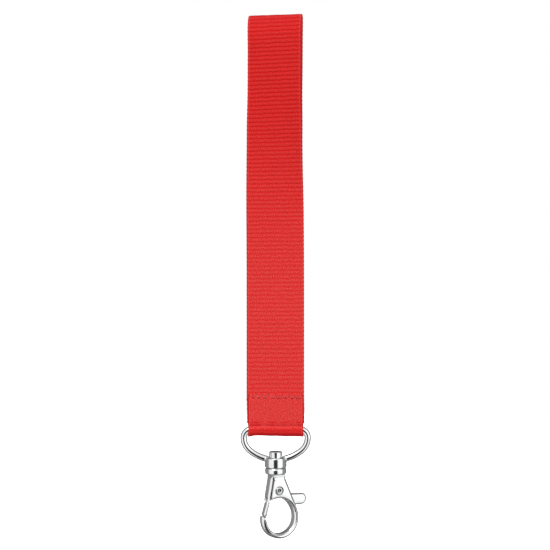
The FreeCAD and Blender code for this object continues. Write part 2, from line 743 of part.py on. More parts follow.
def put(body, side, height):
    """Turns a hook piece about the swivel axis, its own origin at (side, height) in its plane."""
    turn = "Sizes.hook_turn * 1 deg"
    angle = math.radians(cell("hook_turn"))
    x = value(side)
    base = FreeCAD.Vector(x * math.cos(angle), x * math.sin(angle), value(height))
    rotation = FreeCAD.Rotation(FreeCAD.Vector(0, 0, 1), cell("hook_turn"))
    body.Placement = FreeCAD.Placement(base, rotation)
    body.setExpression("Placement.Rotation.Angle", turn)
    if isinstance(side, dict):
        body.setExpression("Placement.Base.x", "(%s) * cos(%s)" % (formula(side), turn))
        body.setExpression("Placement.Base.y", "(%s) * sin(%s)" % (formula(side), turn))
        body.setExpression("Placement.Base.z", formula(height))
    return body


strap = [strap_loop(), ring_tab(), thread("needle_thread", -1), thread("bobbin_thread", 1)]
ring = [d_ring()]
hook = [
    put(swivel_post(), 0.0, 0.0),
    put(hook_body(), 0.0, 0.0),
    put(trigger(), 0.0, 0.0),
    put(trigger_pin(), size(pin_side=1), size(pin_drop=-1)),
    put(
        trigger_spring(),
        size(spring_side=1),
        size(shoulder_drop=-1, spring_play=1, spring_wire=0.5),
    ),
]
PARTS = strap + ring + hook
doc.recompute()

# Nothing is written unless every object and every sub-part is sound.
for item in doc.Objects:
    if "Invalid" in item.State or "Error" in item.State:
        raise RuntimeError("%s did not compute" % item.Name)
for part in PARTS:
    if part.Shape.isNull() or not part.Shape.isValid() or len(part.Shape.Solids) != 1:
        raise RuntimeError("%s is not one sound solid" % part.Label)
os.makedirs("parts", exist_ok=True)
for part in PARTS:
    part.Shape.exportStep("parts/%s.step" % part.Label)
    print("%s: %.1f mm3" % (part.Label, part.Shape.Volume))
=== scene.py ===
import json
import math

import bpy
import numpy as np
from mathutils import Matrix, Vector
from mathutils.kdtree import KDTree

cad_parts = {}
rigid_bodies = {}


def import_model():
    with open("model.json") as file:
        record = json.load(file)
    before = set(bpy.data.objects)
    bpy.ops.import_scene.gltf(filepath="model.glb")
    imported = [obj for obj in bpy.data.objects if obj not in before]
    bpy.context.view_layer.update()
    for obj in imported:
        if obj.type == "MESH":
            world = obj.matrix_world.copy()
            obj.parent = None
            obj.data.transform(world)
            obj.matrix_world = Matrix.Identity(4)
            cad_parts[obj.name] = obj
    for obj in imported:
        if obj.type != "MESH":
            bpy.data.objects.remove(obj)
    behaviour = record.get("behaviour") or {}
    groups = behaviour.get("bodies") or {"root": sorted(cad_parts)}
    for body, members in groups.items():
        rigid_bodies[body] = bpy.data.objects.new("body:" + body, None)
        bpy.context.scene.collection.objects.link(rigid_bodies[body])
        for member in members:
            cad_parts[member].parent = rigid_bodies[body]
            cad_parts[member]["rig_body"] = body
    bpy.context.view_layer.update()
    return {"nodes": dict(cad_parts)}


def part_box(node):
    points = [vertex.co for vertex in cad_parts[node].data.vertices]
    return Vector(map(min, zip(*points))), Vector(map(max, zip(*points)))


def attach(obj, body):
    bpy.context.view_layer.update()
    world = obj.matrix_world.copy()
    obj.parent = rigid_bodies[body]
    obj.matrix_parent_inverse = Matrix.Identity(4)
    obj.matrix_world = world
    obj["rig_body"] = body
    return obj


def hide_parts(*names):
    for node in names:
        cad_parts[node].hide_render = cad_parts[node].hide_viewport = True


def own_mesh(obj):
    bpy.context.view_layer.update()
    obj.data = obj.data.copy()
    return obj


# Short wrist strap: a folded loop of ribbed webbing, a smooth tab sewn over its ends, a D-ring
# and a swivel lobster hook. Lengths here are in millimetres and become metres in new_mesh.

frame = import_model()

MM = 0.001
TAU = 2 * math.pi
rng = np.random.default_rng(11)


def box_mm(node):
    """Lowest and highest corner of a CAD node, in millimetres."""
    low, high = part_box(node)
    return np.array(low) / MM, np.array(high) / MM


def smooth(value, start, end):
    """0 before start, 1 after end, and a smooth rise between them."""
    share = np.clip((np.asarray(value, float) - start) / (end - start), 0, 1)
    return share * share * (3 - 2 * share)


def bell(value, middle, width):
    """A smooth bump of height 1."""
    return np.exp(-(((np.asarray(value, float) - middle) / width) ** 2))


def ripple(terms, low, high):
    """A repeatable smooth wander about zero along a line. Its waves are low to high mm long."""
    waves = [(rng.uniform(low, high), rng.uniform(0, TAU)) for _ in range(terms)]

    def at(position):
        total = sum(np.sin(TAU * np.asarray(position, float) / w + p) for w, p in waves)
        return total / math.sqrt(terms)

    return at


# ---------------------------------------------------------------- meshes


def new_mesh(name, points, faces, **fields):
    """A smooth-shaded mesh object from points in millimetres. Each field has a value per point."""
    mesh = bpy.data.meshes.new(name)
    places = np.asarray(points, float).reshape(-1, 3) * MM
    mesh.from_pydata(places.tolist(), [], faces)
    mesh.polygons.foreach_set("use_smooth", [True] * len(mesh.polygons))
    for field, values in fields.items():
        layer = mesh.attributes.new(field, "FLOAT", "POINT")
        layer.data.foreach_set("value", np.asarray(values, np.float32).ravel())
    mesh.update()
    piece = bpy.data.objects.new(name, mesh)
    bpy.context.scene.collection.objects.link(piece)
    return piece


def tube_faces(rows, columns, first=0):
    """Quads of a closed tube of rows of points, with a cap at each end."""
    faces = []
    for i in range(rows - 1):
        here = first + i * columns
        above = here + columns
        for j in range(columns):
            k = (j + 1) % columns
            faces.append((here + j, here + k, above + k, above + j))
    faces.append(tuple(first + j for j in reversed(range(columns))))
    last = first + (rows - 1) * columns
    faces.append(tuple(last + j for j in range(columns)))
    return faces


def tube_along(path, radius, sides):
    """Points of a tube round a path, with frames carried along so that it doesn't twist."""
    path = np.asarray(path, float)
    tangent = np.gradient(path, axis=0)
    tangent /= np.linalg.norm(tangent, axis=1)[:, None]
    side = np.cross(tangent[0], (0.0, 1.0, 0.0))
    if np.linalg.norm(side) < 0.1:
        side = np.cross(tangent[0], (1.0, 0.0, 0.0))
    side /= np.linalg.norm(side)
    angles = np.arange(sides) / sides * TAU
    radii = np.broadcast_to(radius, len(path))
    rows = []
    for point, along, r in zip(path, tangent, radii):
        side = side - along * (side @ along)
        side /= np.linalg.norm(side)
        up = np.cross(along, side)
        ring = np.outer(np.cos(angles), side) + np.outer(np.sin(angles), up)
        rows.append(point + r * ring)
    return np.array(rows)


# ---------------------------------------------------------------- materials


def new_material(name):
    """A new node material, its node tree and its shader."""
    made = bpy.data.materials.new(name)
    made.use_nodes = True
    shader = made.node_tree.nodes["Principled BSDF"]
    return made, made.node_tree, shader


def add(tree, kind, inputs=(), **settings):
    """A shader node. inputs holds (socket, value or output) pairs."""
    made = tree.nodes.new(kind)
    for name, value in settings.items():
        setattr(made, name, value)
    for socket, value in inputs:
        if isinstance(value, bpy.types.NodeSocket):
            tree.links.new(value, made.inputs[socket])
        else:
            made.inputs[socket].default_value = value
    return made


def calc(tree, operation, *values):
    """The result of a Math node."""
    return add(tree, "ShaderNodeMath", list(enumerate(values)), operation=operation).outputs[0]


def blend_colours(tree, share, first, second, mode="MIX"):
    """The result of mixing two colours."""
    made = add(tree, "ShaderNodeMix", data_type="RGBA", blend_type=mode)
    sockets = [s for s in made.inputs if s.enabled]
    for socket, value in zip(sockets, (share, first, second)):
        if isinstance(value, bpy.types.NodeSocket):
            tree.links.new(value, socket)
        else:
            socket.default_value = value
    return next(s for s in made.outputs if s.enabled)


def field(tree, name):
    """A per-point value stored on the mesh."""
    return add(tree, "ShaderNodeAttribute", attribute_name=name).outputs["Fac"]


def noise(tree, vector, scale, detail=3.0, roughness=0.6):
    """A noise value of about 0 to 1."""
    inputs = (("Scale", scale), ("Detail", detail), ("Roughness", roughness), ("Vector", vector))
    return add(tree, "ShaderNodeTexNoise", inputs).outputs["Fac"]


def rescale(tree, value, low, high):
    """A value from 0..1 spread over low..high."""
    inputs = (("Value", value), ("To Min", low), ("To Max", high))
    return add(tree, "ShaderNodeMapRange", inputs).outputs["Result"]


def bump(tree, height, distance, strength=1.0):
    """A normal from a height between 0 and 1. distance is in metres."""
    inputs = (("Height", height), ("Distance", distance), ("Strength", strength))
    return add(tree, "ShaderNodeBump", inputs).outputs["Normal"]


def settle(shader, values):
    """Sets plain numbers on a shader's own sockets."""
    for socket, value in values.items():
        shader.inputs[socket].default_value = value


PALE_RED = (0.800, 0.084, 0.078, 1)  # lit, hairy tops of the yarns
DEEP_RED = (0.745, 0.006, 0.006, 1)  # painted shade between the yarns and between the thread's plies; also the dark ground of the random fibre speckle
GROOVE_RED = (0.720, 0.006, 0.006, 1)  # painted shade between the ribs, and in the tab's creases
CROWN_RED = (0.420, 0.004, 0.005, 1)  # painted shade on the sharp bend at the top, which is turned from the light
EDGE_RED = (0.600, 0.008, 0.010, 1)  # the closed edges
STRONG_RED = (0.90, 0.48, 0.46, 1)  # the upper strap's tint: painted shade, deeper and with less sheen than the lower end, which the light catches more
THREAD_RED = (0.830, 0.140, 0.130, 1)
HOLE_RED = (0.110, 0.002, 0.003, 1)  # painted shadow in the needle holes
PLATE = (0.90, 0.905, 0.91, 1)
POLISHED = (0.88, 0.885, 0.89, 1)
DULL_PLATE = (0.72, 0.725, 0.73, 1)
STEEL = (0.62, 0.62, 0.63, 1)
SOOT = (0.05, 0.05, 0.052, 1)  # darker colour in the metal's recesses

CLOTH_FINISH = {
    "Roughness": 0.72,
    "Specular IOR Level": 0.15,
    "Sheen Weight": 0.06,
    "Sheen Roughness": 0.4,
}
THREAD_FINISH = {"Roughness": 0.5, "Specular IOR Level": 0.4}

# Distances in from a closed edge, in millimetres.
PALE_LINE = (0.85, 0.6, 0.5, 0.35)  # the painted highlight line starts, is full, starts to fade, is gone
PALE_LINE_SHARE = 0.45
EDGE_BAND = (0.5, 0.2)  # the edge's colour starts, is full

# Of each webbing: fibre and patch are noise scales per millimetre, gain sharpens the speckle,
# yarn and hair share out the pale tops, and the rises, with bump in metres, make the relief.
RIBBED_LOOK = {
    "fibre": 2.2,
    "patch": 0.16,
    "gain": 5.5,
    "yarn": 0.22,
    "hair": 0.85,
    "yarn rise": 0.45,
    "hair rise": 0.8,
    "bump": 0.00013,
}
SMOOTH_LOOK = {
    "fibre": 2.1,
    "patch": 0.3,
    "gain": 6.0,
    "yarn": 0.2,
    "hair": 0.8,
    "yarn rise": 0.5,
    "hair rise": 0.7,
    "bump": 0.00009,
}
FIBRE_GRAIN = (4.0, 0.65)  # detail and roughness of the fibre's noise
PATCH_DETAIL = 2.0
PATCH_SHADE = (0.96, 1.05)
GROOVE_POWER = 1.8  # how narrow the painted shade in the grooves between the ribs is
GROOVE_GAIN = 2.0  # fibres that cross a groove break up its painted shade
GROOVE_BREAK = (0.62, 1.0)
GROOVE_FADE = (1.25, 0.75)  # strength of the painted groove shade at the top and at the lower end, which has more painted light


def grey_tint(tree, base, shade):
    """A colour times a grey value."""
    inputs = (("Red", shade), ("Green", shade), ("Blue", shade))
    grey = add(tree, "ShaderNodeCombineColor", inputs).outputs[0]
    return blend_colours(tree, 1.0, base, grey, "MULTIPLY")


def contrast(tree, value, gain):
    """A noise value pushed away from its middle and kept within 0..1."""
    inputs = ((0, value), (1, gain), (2, 0.5 - 0.5 * gain))
    made = add(tree, "ShaderNodeMath", inputs, operation="MULTIPLY_ADD", use_clamp=True)
    return made.outputs[0]


def wave(tree, angle):
    """A sine between 0 and 1."""
    return calc(tree, "MULTIPLY_ADD", calc(tree, "SINE", angle), 0.5, 0.5)


def selvage(tree, across, half, base):
    """Deeper colour on the closed edges, with a thin painted highlight line just inside them."""
    reach = calc(tree, "ABSOLUTE", across)

    def band(start, end):
        inputs = (("Value", reach), ("From Min", half - start), ("From Max", half - end))
        return add(tree, "ShaderNodeMapRange", inputs).outputs["Result"]

    starts, full, fades, gone = PALE_LINE
    line = calc(tree, "MULTIPLY", band(starts, full), band(gone, fades))
    base = blend_colours(tree, calc(tree, "MULTIPLY", line, PALE_LINE_SHARE), base, PALE_RED)
    return blend_colours(tree, band(*EDGE_BAND), base, EDGE_RED)


def yarn_surface(tree, across, along, yarn, look):
    """Red of a woven surface: random pale fibre hairs, and painted light on the yarn tops over
    painted shade between them; also its fibre and its slow shade.
    """
    place = add(tree, "ShaderNodeCombineXYZ", (("X", across), ("Y", along))).outputs[0]
    fibre = noise(tree, place, look["fibre"], *FIBRE_GRAIN)
    hairs = calc(tree, "MULTIPLY", contrast(tree, fibre, look["gain"]), look["hair"])
    tops = calc(tree, "MULTIPLY_ADD", yarn, look["yarn"], hairs)
    patch = noise(tree, place, look["patch"], PATCH_DETAIL)
    base = blend_colours(tree, tops, DEEP_RED, PALE_RED)
    return base, fibre, rescale(tree, patch, *PATCH_SHADE)


def finish_cloth(tree, shader, look, base, across, half, yarn, fibre):
    """The selvage, relief and sheen that both webbings have."""
    tree.links.new(selvage(tree, across, half, base), shader.inputs["Base Color"])
    yarns = calc(tree, "MULTIPLY", yarn, look["yarn rise"])
    height = calc(tree, "MULTIPLY_ADD", fibre, look["hair rise"], yarns)
    tree.links.new(bump(tree, height, look["bump"]), shader.inputs["Normal"])
    settle(shader, CLOTH_FINISH)


def ribbed_cloth():
    """Polyester webbing with thick cross ribs: pale tops, painted shade in the grooves, yarns
    stepping over.
    """
    made, tree, shader = new_material("ribbed_webbing_red")
    rib, across, along = field(tree, "rib"), field(tree, "across"), field(tree, "along")
    fade = field(tree, "fade")
    part = calc(tree, "ABSOLUTE", calc(tree, "SUBTRACT", calc(tree, "FRACT", rib), 0.5))
    groove = calc(tree, "POWER", calc(tree, "MULTIPLY", part, 2.0), GROOVE_POWER)
    # Every second rib shows its yarns half a yarn further along.
    half_turn = calc(tree, "MULTIPLY", calc(tree, "FLOOR", rib), math.pi)
    yarn = wave(tree, calc(tree, "MULTIPLY_ADD", across, TAU / YARN_PITCH, half_turn))
    base, fibre, shade = yarn_surface(tree, across, along, yarn, RIBBED_LOOK)
    # The grooves between the ribs get painted shade, broken up by the fibres.
    broken = rescale(tree, contrast(tree, fibre, GROOVE_GAIN), *GROOVE_BREAK)
    broken = calc(tree, "MULTIPLY", groove, broken)
    broken = calc(tree, "MULTIPLY", broken, rescale(tree, fade, *GROOVE_FADE))
    base = grey_tint(tree, blend_colours(tree, broken, base, GROOVE_RED), shade)
    # Painted light and shade: the upper strap is tinted deeper, and the lower end stays paler.
    strong = blend_colours(tree, 1.0, base, STRONG_RED, "MULTIPLY")
    base = blend_colours(tree, fade, strong, base)
    # Painted shade on the crown, the sharp bend at the top.
    base = blend_colours(tree, field(tree, "crown"), base, CROWN_RED)
    finish_cloth(tree, shader, RIBBED_LOOK, base, across, strap_half, yarn, fibre)
    return made


def smooth_cloth():
    """Fine plain-woven tape: small crossing yarns, a soft surface, painted shade in its creases
    and under its fold.
    """
    made, tree, shader = new_material("smooth_webbing_red")
    across, along = field(tree, "across"), field(tree, "along")
    warp = calc(tree, "SINE", calc(tree, "MULTIPLY", across, TAU / TAB_YARN))
    weft = calc(tree, "SINE", calc(tree, "MULTIPLY", along, TAU / TAB_YARN))
    check = calc(tree, "MULTIPLY_ADD", calc(tree, "MULTIPLY", warp, weft), 0.5, 0.5)
    base, fibre, shade = yarn_surface(tree, across, along, check, SMOOTH_LOOK)
    base = blend_colours(tree, field(tree, "crease"), grey_tint(tree, base, shade), GROOVE_RED)
    finish_cloth(tree, shader, SMOOTH_LOOK, base, across, tab_half, check, fibre)
    return made


PLY_BUMP = 0.00005


def sewing_thread():
    """Twisted sewing thread, a little glossier than the cloth."""
    made, tree, shader = new_material("sewing_thread_red")
    ply = wave(tree, calc(tree, "MULTIPLY", field(tree, "ply"), TAU))
    # Painted shade between the plies of the twist.
    base = blend_colours(tree, ply, DEEP_RED, THREAD_RED)
    # Painted shadow round the needle holes.
    base = blend_colours(tree, field(tree, "hole"), base, HOLE_RED)
    tree.links.new(base, shader.inputs["Base Color"])
    tree.links.new(bump(tree, ply, PLY_BUMP), shader.inputs["Normal"])
    settle(shader, THREAD_FINISH)
    return made


# Noise of the plated castings: the tumbled surface and the fine marks on it. Scales are per metre.
SWELL_NOISE = (260.0, 2.0)
MARK_NOISE = (2600.0, 4.0, 0.7)
MARK_SHARE = 0.06
WEAR = (0.6, 1.5)  # the smoothest and roughest places, as shares of the roughness
MARK_SHADE = (0.93, 1.03)


def plated_metal(name, colour, roughness, waves):
    """Bright nickel plate on a tumbled casting. waves is its unevenness in metres."""
    made, tree, shader = new_material(name)
    place = add(tree, "ShaderNodeTexCoord").outputs["Object"]
    swell = noise(tree, place, *SWELL_NOISE)
    mark = noise(tree, place, *MARK_NOISE)
    wear = rescale(tree, swell, roughness * WEAR[0], roughness * WEAR[1])
    tree.links.new(wear, shader.inputs["Roughness"])
    tint = rescale(tree, mark, *MARK_SHADE)
    base = blend_colours(tree, field(tree, "soot"), grey_tint(tree, colour, tint), SOOT)
    tree.links.new(base, shader.inputs["Base Color"])
    height = calc(tree, "MULTIPLY_ADD", mark, MARK_SHARE, swell)
    tree.links.new(bump(tree, height, waves), shader.inputs["Normal"])
    settle(shader, {"Metallic": 1.0})
    return made


# ---------------------------------------------------------------- strap loop

strap_low, strap_high = box_mm("strap_loop")
strap_half = strap_high[0]
STRAP_FOOT = strap_low[2]
STRAP_SKIN = strap_high[1] - 0.015  # the ribs' crests, just inside the tab
STRAP_THICK = 1.08
STRAP_MIDDLE = STRAP_SKIN - STRAP_THICK / 2
LAYER_STEPS = 1400  # points of the middle line up one layer
TOP_STEPS = 300  # and over the fold
TOP_HALF = 1.75  # half the distance between the layers' middles just below the fold
TOP_LONG = 8.0
TOP_ROUND = 0.85  # power of the fold's curve
PART_FROM = -62.0  # the layers part above this height
LEAN_FROM = -10.0  # and lean back above this one
LEAN = 0.0105

RIB_PITCH = 1.47
LOOSE_PITCH = 1.55  # the ribs open a little towards the seam
LOOSE_SPAN = (112.0, 122.0)  # depths between which they do
RIB_ROWS = (0.0, 0.09, 0.24, 0.5, 0.76, 0.91)  # rows of points in each rib
RIB_DEPTH = (0.145, 0.06)  # depth of the grooves at the loop's top and at its worn lower end
WORN_SPAN = (35.0, 85.0)
RIB_ROUND = 0.62  # power of a rib's arch
RIB_SINK = 0.022  # keeps the yarns' lift within the skin
YARN_PITCH = 0.86
YARN_STEP = 0.13  # how far the yarns scallop a groove
YARN_LIFT = 0.022
TAB_YARN = 0.42
SKEW = 0.006  # slope of the ribs, and how much more of it there is at mid-length
SKEW_MORE = 0.018
SKEW_PLACE = (115.0, 38.0)
SLOW_WANDER = 0.03  # the ribs' unevenness, in millimetres along the strap
RIB_JITTER = 0.045
WANDER_RUN = 3.7 / 7.0  # these two shift the wander from rib to rib
JITTER_RUN = 11.3
CUT_MARGIN = 2.0  # it dies out this near to the cut ends
WANDER_WAVES = (4, 9.0, 40.0)  # waves, and their least and greatest lengths
JITTER_WAVES = (6, 2.3, 7.0)
FACE_POINTS, LINING_POINTS = 51, 13
STRAP_EDGE = (0.16, 0.40, 0.16)  # see webbing_section
EDGE_SLOPE = 0.75  # the ribs die out over this width
EDGE_DROP = 0.03
GUTTER = (0.05, 0.8, 0.22)  # depth of the line inside the edge, its distance in, its half-width
EDGE_WAVE = 0.05

HANG_TURN = math.radians(10.5)  # the upper end is turned this much about Z
TURN_SPAN = (-72.0, -18.0)
LOW_WIDTH = 1.013  # share of the CAD's width at the lower end, and its changes on the way up
WIDTH_STEPS = ((-0.033, -72.0, -42.0), (-0.024, -42.0, -26.0), (0.014, -12.0, 0.0))
BOW = (0.27, -48.0, 26.0)  # to the left in millimetres, at this height, over this half-length
LEFT_STEPS = ((0.12, -143.0, -135.0), (0.1, -14.0, 0.0))
# The lower strap's painted light rises over these depths below the top.
FADE_SPAN = (25.0, 105.0)
CROWN_STEPS = ((0.3, -6.0, -1.0), (0.6, -0.9, -0.2))  # the crown's painted shade rises in two steps


def stepped(z, steps):
    """A sum of smooth changes, each (change, from height, to height)."""
    return sum(change * smooth(z, start, end) for change, start, end in steps)


def loop_curve():
    """Middle line of the webbing in the YZ plane: up the front, over the top, down the back."""
    shoulder = -STRAP_THICK / 2 - TOP_LONG
    rise = np.linspace(STRAP_FOOT, shoulder, LAYER_STEPS)
    spread = (TOP_HALF - STRAP_MIDDLE) * smooth(rise, PART_FROM, shoulder)
    front = np.stack([-STRAP_MIDDLE - spread, rise], 1)
    turn = np.linspace(0, math.pi, TOP_STEPS)[1:-1]
    arch = shoulder + TOP_LONG * np.sin(turn) ** TOP_ROUND
    top = np.stack([-TOP_HALF * np.cos(turn), arch], 1)
    curve = np.concatenate([front, top, front[::-1] * (-1, 1)])
    curve[:, 0] += LEAN * np.clip(curve[:, 1] - LEAN_FROM, 0, None) ** 2
    return curve


def measured(curve):
    """Lengths of a curve's steps, the length reached at each point, and the unit tangents."""
    steps = np.linalg.norm(np.diff(curve, axis=0), axis=1)
    length = np.concatenate([[0], np.cumsum(steps)])
    tangent = np.gradient(curve, axis=0)
    tangent /= np.linalg.norm(tangent, axis=1)[:, None]
    return steps, length, tangent


def webbing_section(outer, inner, edge):
    """One ring of points across a webbing: places across, and levels as shares of its thickness.

    edge is how far in a closed edge's shoulders lie, and the levels of the shoulder and the side.
    """
    half = outer[-1]
    inset, shoulder, side = edge
    right = [(half - inset, shoulder), (half, side), (half, -side), (half - inset, -shoulder)]
    left = [(-a, b) for a, b in right[::-1]]
    face = np.stack([outer[1:-1], np.full(len(outer) - 2, 0.5)], 1)
    lining = np.stack([inner[1:-1], np.full(len(inner) - 2, -0.5)], 1)
    ring = np.concatenate([face, right, lining, left])
    return ring[:, 0], ring[:, 1]


def hung(x, y, z):
    """The loop's hang: turned towards its upper end, a little narrower there, slightly bowed."""
    turn = HANG_TURN * smooth(z, *TURN_SPAN)
    x = x * (LOW_WIDTH + stepped(z, WIDTH_STEPS))
    size, middle, reach = BOW
    left = stepped(z, LEFT_STEPS) + size * bell(z, middle, reach)
    turned = (x * np.cos(turn) + y * np.sin(turn) - left, y * np.cos(turn) - x * np.sin(turn), z)
    return np.stack(turned, -1)


def strap_webbing():
    curve = loop_curve()
    steps, length, tangent = measured(curve)
    # Rib count along the loop, from the pitch at each place.
    pitch = RIB_PITCH + (LOOSE_PITCH - RIB_PITCH) * smooth(-curve[:, 1], *LOOSE_SPAN)
    counted = np.concatenate([[0], np.cumsum(steps / (0.5 * (pitch[1:] + pitch[:-1])))])
    whole = int(counted[-1])
    phases = np.array([i + part for i in range(whole) for part in RIB_ROWS] + [whole])
    station = np.interp(phases, counted, length)
    outer = np.linspace(-1, 1, FACE_POINTS) * strap_half
    inner = np.linspace(1, -1, LINING_POINTS) * strap_half
    across, level = webbing_section(outer, inner, STRAP_EDGE)

    # The ribs' lines: yarns step to and fro in the grooves, and the lines wander and slope.
    wander = ripple(*WANDER_WAVES)
    jitter = ripple(*JITTER_WAVES)
    rib_number = np.round(phases)
    alternate = np.where(rib_number % 2 == 0, 1.0, -1.0)
    groove = np.abs(np.mod(phases, 1.0) - 0.5) * 2
    yarns = np.cos(TAU * across / YARN_PITCH)
    scallop = YARN_STEP * groove[:, None] * yarns * alternate[:, None]
    weave = SLOW_WANDER * wander(across + WANDER_RUN * station[:, None])
    weave += RIB_JITTER * jitter(across + JITTER_RUN * rib_number[:, None])
    skew = SKEW + SKEW_MORE * bell(station, *SKEW_PLACE)
    to_end = np.minimum(station, length[-1] - station)
    free = smooth(to_end, 0.0, CUT_MARGIN)[:, None]
    along = station[:, None] + (scallop + weave + skew[:, None] * across) * free
    along = np.clip(along, 0, length[-1])

    # The ribs' relief: arched tops, yarns standing up on them, a gutter just inside each edge.
    crest = np.abs(np.sin(math.pi * phases)) ** RIB_ROUND
    flat = smooth(strap_half - np.abs(across), 0.0, EDGE_SLOPE)
    every_second = math.pi * (np.floor(phases)[:, None] % 2)
    yarn_lift = YARN_LIFT * np.cos(TAU * across / YARN_PITCH + every_second)
    worn = smooth(-np.interp(station, length, curve[:, 1]), *WORN_SPAN)
    depth = RIB_DEPTH[0] + (RIB_DEPTH[1] - RIB_DEPTH[0]) * worn
    lift = -(depth * (1 - crest))[:, None] + yarn_lift * crest[:, None] - RIB_SINK
    deep, inset, reach = GUTTER
    lift = lift * flat - deep * bell(np.abs(across), strap_half - inset, reach)
    lift -= EDGE_DROP * (1 - flat)
    offset = level * STRAP_THICK + np.where(level > 0, lift, -0.5 * lift)

    # The outward normal lies to the left of the direction of travel.
    y, z = (np.interp(along, length, curve[:, i]) for i in (0, 1))
    ty, tz = (np.interp(along, length, tangent[:, i]) for i in (0, 1))
    edge_wave = EDGE_WAVE * np.sin(TAU * phases)[:, None] * (1 - flat)
    points = hung(across + np.sign(across) * edge_wave, y - tz * offset, z + ty * offset)
    height = points[..., 2]
    piece = new_mesh(
        "strap_webbing",
        points,
        tube_faces(len(phases), len(across)),
        rib=np.broadcast_to(phases[:, None], height.shape),
        across=np.broadcast_to(across, height.shape),
        along=along,
        fade=smooth(-height, *FADE_SPAN),
        crown=stepped(height, CROWN_STEPS),
    )
    piece.data.materials.append(ribbed_cloth())
    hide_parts("strap_loop")
    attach(piece, "strap")
    return piece, length[-1]


# ---------------------------------------------------------------- tab and seam

tab_low, tab_high = box_mm("ring_tab")
tab_half = tab_high[0]
tab_top = tab_high[2]
TAB_THICK = 0.83
TAB_SKIN = tab_high[1]
TAB_MIDDLE = TAB_SKIN - TAB_THICK / 2
bar_z = tab_low[2] + TAB_SKIN
DROP_STEPS, FOLD_STEPS = 90, 40  # points of the middle line down one layer and round the bar
TAB_POINTS = 61
TAB_EDGE = (0.12, 0.42, 0.18)

# Bumps of a size, at a distance below the strap's cut ends, over a half-height.
FOOT_DIP = (0.26, 0.75, 0.55)  # the tab sinks where the strap under it ends
FOOT_SWELL = (0.05, 2.0, 0.6)
# Painted shade of the two creases below the strap's cut ends.
UPPER_CREASE = (0.75, -0.4, 0.28)
LOWER_CREASE = (0.65, 0.75, 0.3)

WRINKLE = (3, 4.0, 11.0)  # waves, and their least and greatest lengths
FOLD_PUFF = (0.02, -1.2, 1.5)  # height of the wrinkles on the fold, its place from the bar, reach
FOOT_PUFF = (0.03, -0.8, 1.1)  # and below the strap's cut ends
TAB_SINK = 0.03  # keeps the wrinkles within the skin
RIM_DROP = 0.05
RIM_SLOPE = 0.5
BEAD = (0.035, 0.75, 0.18)  # depth of the line inside the edge, its distance in, its half-width
LINING_LEVEL = 0.28  # the edges' thinned inner corners stay within this, inside the outer face
THIN = 0.5  # the inner face gives way this much beside the bar
THIN_ACROSS = (7.4, 0.4)  # starts this far from the middle, is full this far from the edge
THIN_UP = (4.5, 2.0)  # starts and is full this far above the bar
SLACK = 0.38  # the fold hangs this much below the CAD's
SLACK_RIGHT = 0.2  # and this much more towards the right
SLACK_SPAN = (0.0, 3.5)
FLARE = 0.66  # but this much at its two corners, where the ring turns down
FLARE_FROM = 5.0
HANG_SPAN = (3.0, -1.0)  # from the bar's middle, where the cloth starts to hang and fully does
FOLD_SPAN = (1.5, -1.5)
CUT_HEIGHT = 1.6
CUT_TUCK = 0.10  # the seam holds the cut ends down
EDGE_WANDER = 0.06  # unevenness of the fold and of the cut ends
TAB_WIDTH = 1.01  # share of the CAD's width
CUT_SPREAD = (0.012, -1.5, 2.2)  # share wider, place from the cut end, reach
BAR_NARROW = (0.024, 0.15, 1.9)  # room for the ring's corners as it swings
FRAY = 0.3  # the cut end spreads this much at its left corner
FRAY_PLACE = (-0.9, 0.9)
FRAY_FROM = 9.0
CREASE_BREAK = (0.8, 0.5, 1.3)  # the mean strength of the creases' painted shade, its wander, and the wander's stretch
UNDERSIDE = (0.6, -0.1)  # the fold's shade starts and is full, from the bar's middle
UNDER_LINES = ((0.25, -1.7, 0.4), (-0.35, -0.9, 0.22))  # a line of deeper painted shade and a painted highlight line


def foot_bump(z, size, drop, reach):
    return size * bell(z, STRAP_FOOT - drop, reach)


def tab_curve():
    """Middle line of the tab: down the front, round the bar, up the back."""
    drop = np.linspace(tab_top, bar_z, DROP_STEPS)
    dip = foot_bump(drop, *FOOT_DIP) - foot_bump(drop, *FOOT_SWELL)
    front = np.stack([-TAB_MIDDLE + dip, drop], 1)
    turn = np.linspace(0, math.pi, FOLD_STEPS)[1:-1]
    fold = np.stack([-TAB_MIDDLE * np.cos(turn), bar_z - TAB_MIDDLE * np.sin(turn)], 1)
    return np.concatenate([front, fold, front[::-1] * (-1, 1)])


def tab_shade(x, z, wrinkle, level):
    """Painted shade on the outer face: two creases below the strap's ends, and the fold's
    underside.
    """
    crease = foot_bump(z, *UPPER_CREASE) + foot_bump(z, *LOWER_CREASE)
    mean, more, stretch = CREASE_BREAK
    crease = crease * (mean + more * wrinkle(x * stretch))
    (deeper, low, reach), (lit, high, span) = UNDER_LINES
    under = smooth(z, bar_z + UNDERSIDE[0], bar_z + UNDERSIDE[1])
    under = under * (1 - deeper + deeper * bell(z, bar_z + low, reach))
    under = under + lit * bell(z, bar_z + high, span)
    return np.clip(crease + under, 0, 1) * (level > 0)


